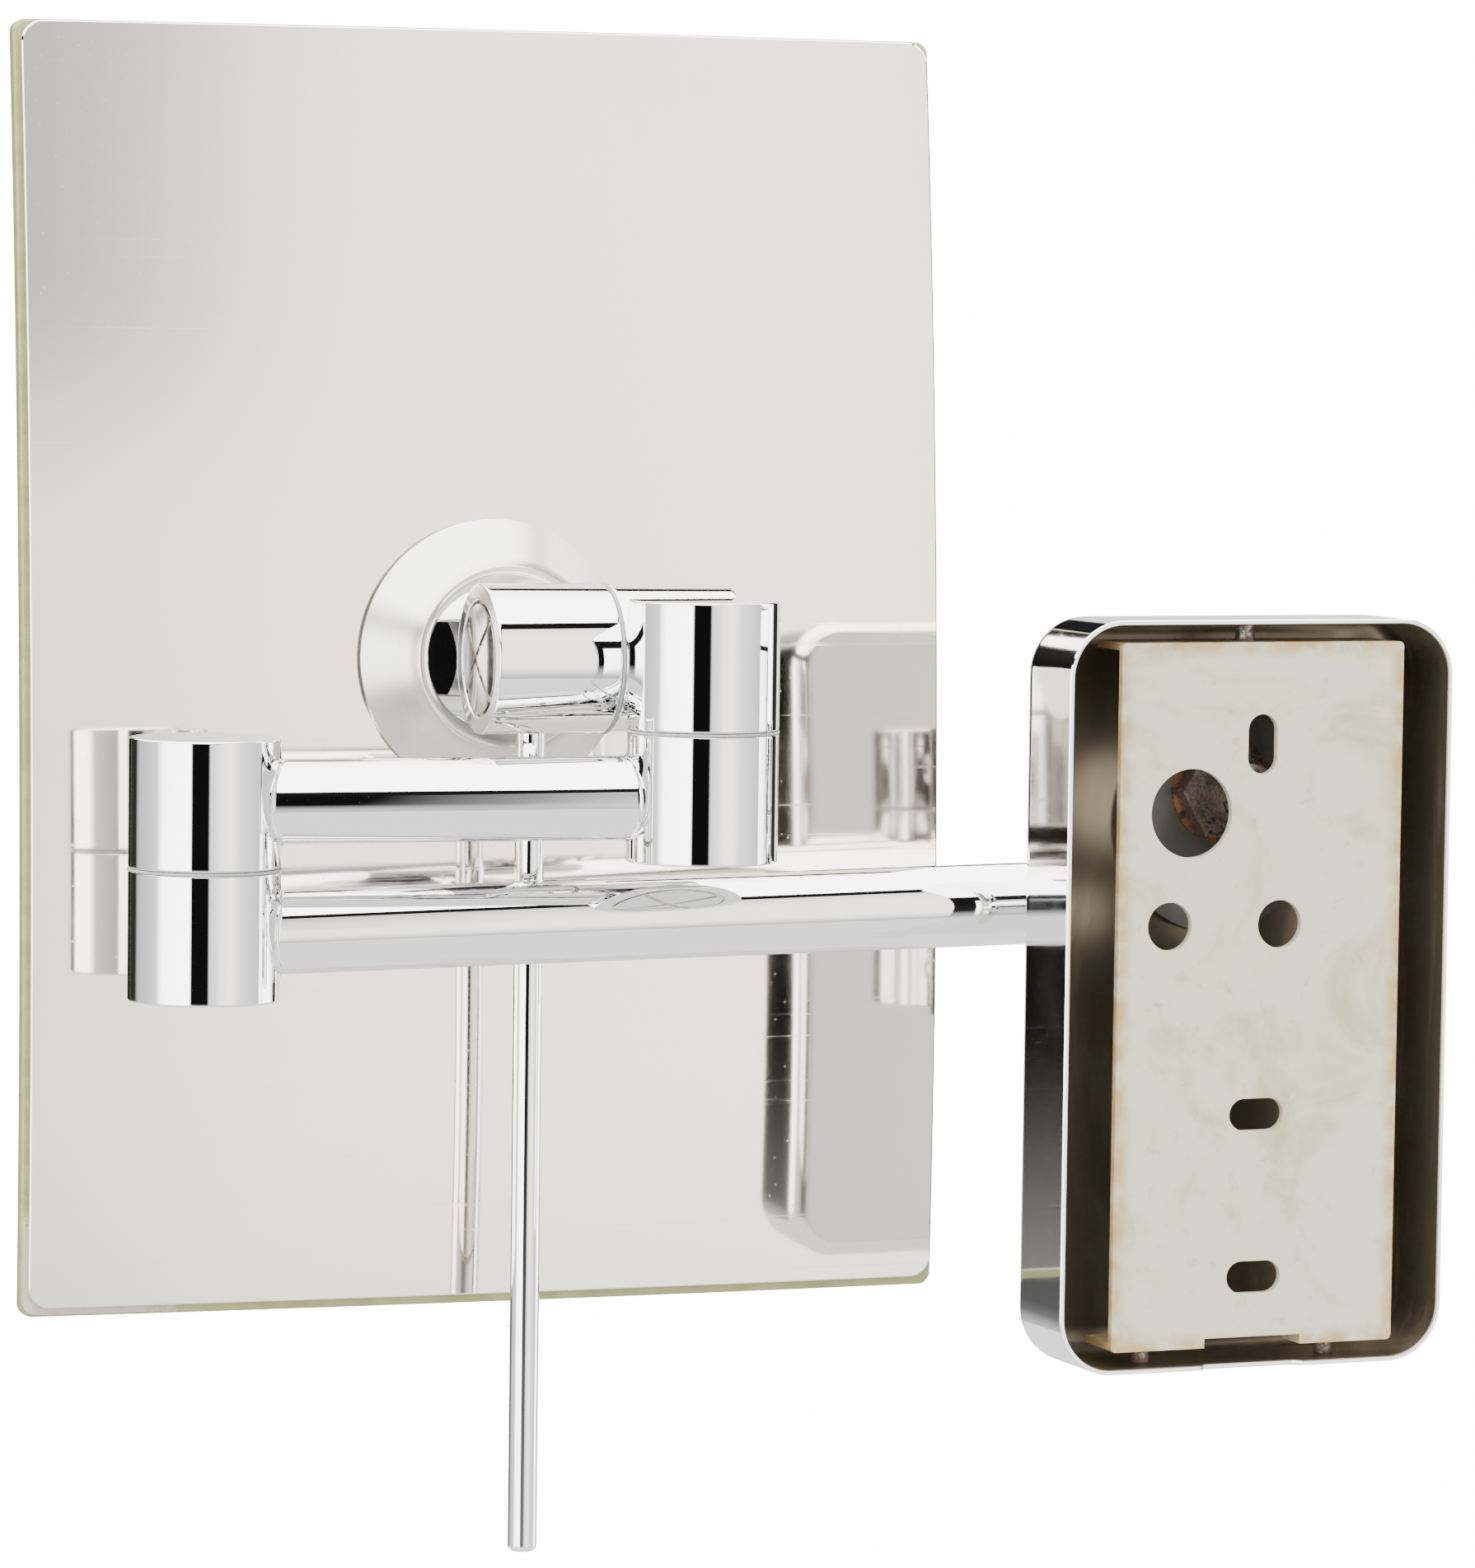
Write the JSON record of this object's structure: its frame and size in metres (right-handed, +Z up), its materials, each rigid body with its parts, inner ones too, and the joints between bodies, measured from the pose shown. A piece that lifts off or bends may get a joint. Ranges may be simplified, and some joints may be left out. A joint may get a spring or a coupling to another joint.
{
  "type": "wall mounted shaving mirror",
  "caption": "Rectangular magnifying shaving mirror on a chromed two-link swing arm with a tilting head, a hanging pull rod and a shallow wall box.",
  "frame": {"origin": "centre of the bracket's back face, on the wall", "axes": "+Z up, +Y into the wall, the arm folds away along +X"},
  "size_m": [0.2106, 0.0876, 0.2394],
  "materials": {
    "cover_chrome": "polished outside",
    "chrome": "polished",
    "zinc": "zinc plated, dull",
    "steel": "turned",
    "nut_steel": "dark, lightly rusted",
    "copper": "dull copper colour",
    "spring_steel": "bright",
    "nylon": "satin",
    "satin_steel": "satin",
    "plate_steel": "mirror polished",
    "adhesive": "matte",
    "mirror_glass": "silvered"
  },
  "bodies": {
    "wall_box": {"wall_cover": "cover_chrome", "mounting_bracket": "zinc", "stiffener_disc": "zinc", "box_nipple": "steel", "nipple_nut": "nut_steel", "toothed_washer": "copper", "cover_screws": "steel", "upper_boss": "chrome", "lower_boss": "chrome", "hinge_screw": "steel", "wall_upper_barrel": "chrome", "wall_lower_barrel": "chrome", "wall_pin": "steel", "wall_spring": "spring_steel", "wall_cap": "chrome"},
    "lower_arm": {"wall_middle_barrel": "chrome", "wall_washers": "nylon", "lower_arm_tube": "chrome", "elbow_lower_barrel": "chrome", "elbow_spring": "spring_steel", "elbow_cap": "chrome"},
    "upper_arm": {"elbow_upper_barrel": "chrome", "elbow_pin": "steel", "elbow_washer": "nylon", "upper_arm_tube": "chrome", "swivel_lower_barrel": "chrome", "swivel_spring": "spring_steel", "swivel_cap": "chrome"},
    "yoke": {"swivel_upper_barrel": "chrome", "swivel_pin": "steel", "swivel_washer": "nylon", "tilt_fixed_barrel": "chrome", "tilt_pin": "steel"},
    "mirror_head": {"tilt_head_barrel": "chrome", "tilt_spring": "spring_steel", "tilt_washer": "nylon", "tilt_cap": "chrome", "neck_block": "chrome", "flange_screws": "steel", "escutcheon": "satin_steel", "back_plate": "plate_steel", "adhesive_pad": "adhesive", "mirror_glass": "mirror_glass", "pull_rod": "chrome"}
  },
  "joints": [
    {"name": "wall_swivel", "type": "hinge", "parent": "wall_box", "child": "lower_arm", "pos_m": [0, -0.0308, 0.0126], "axis": [0, 0, 1], "range_deg": [-120, 2]},
    {"name": "elbow_swivel", "type": "hinge", "parent": "lower_arm", "child": "upper_arm", "pos_m": [0.1574, -0.04457, 0.01918], "axis": [0, 0, 1], "range_deg": [0, 130]},
    {"name": "mirror_swivel", "type": "hinge", "parent": "upper_arm", "child": "yoke", "pos_m": [0.08384, -0.02431, 0.04068], "axis": [0, 0, 1], "range_deg": [-20, 0]},
    {"name": "mirror_tilt", "type": "hinge", "parent": "yoke", "child": "mirror_head", "pos_m": [0.08278, -0.04378, 0.05085], "axis": [0.9985, -0.0541, 0], "range_deg": [-25, 0]}
  ]
}
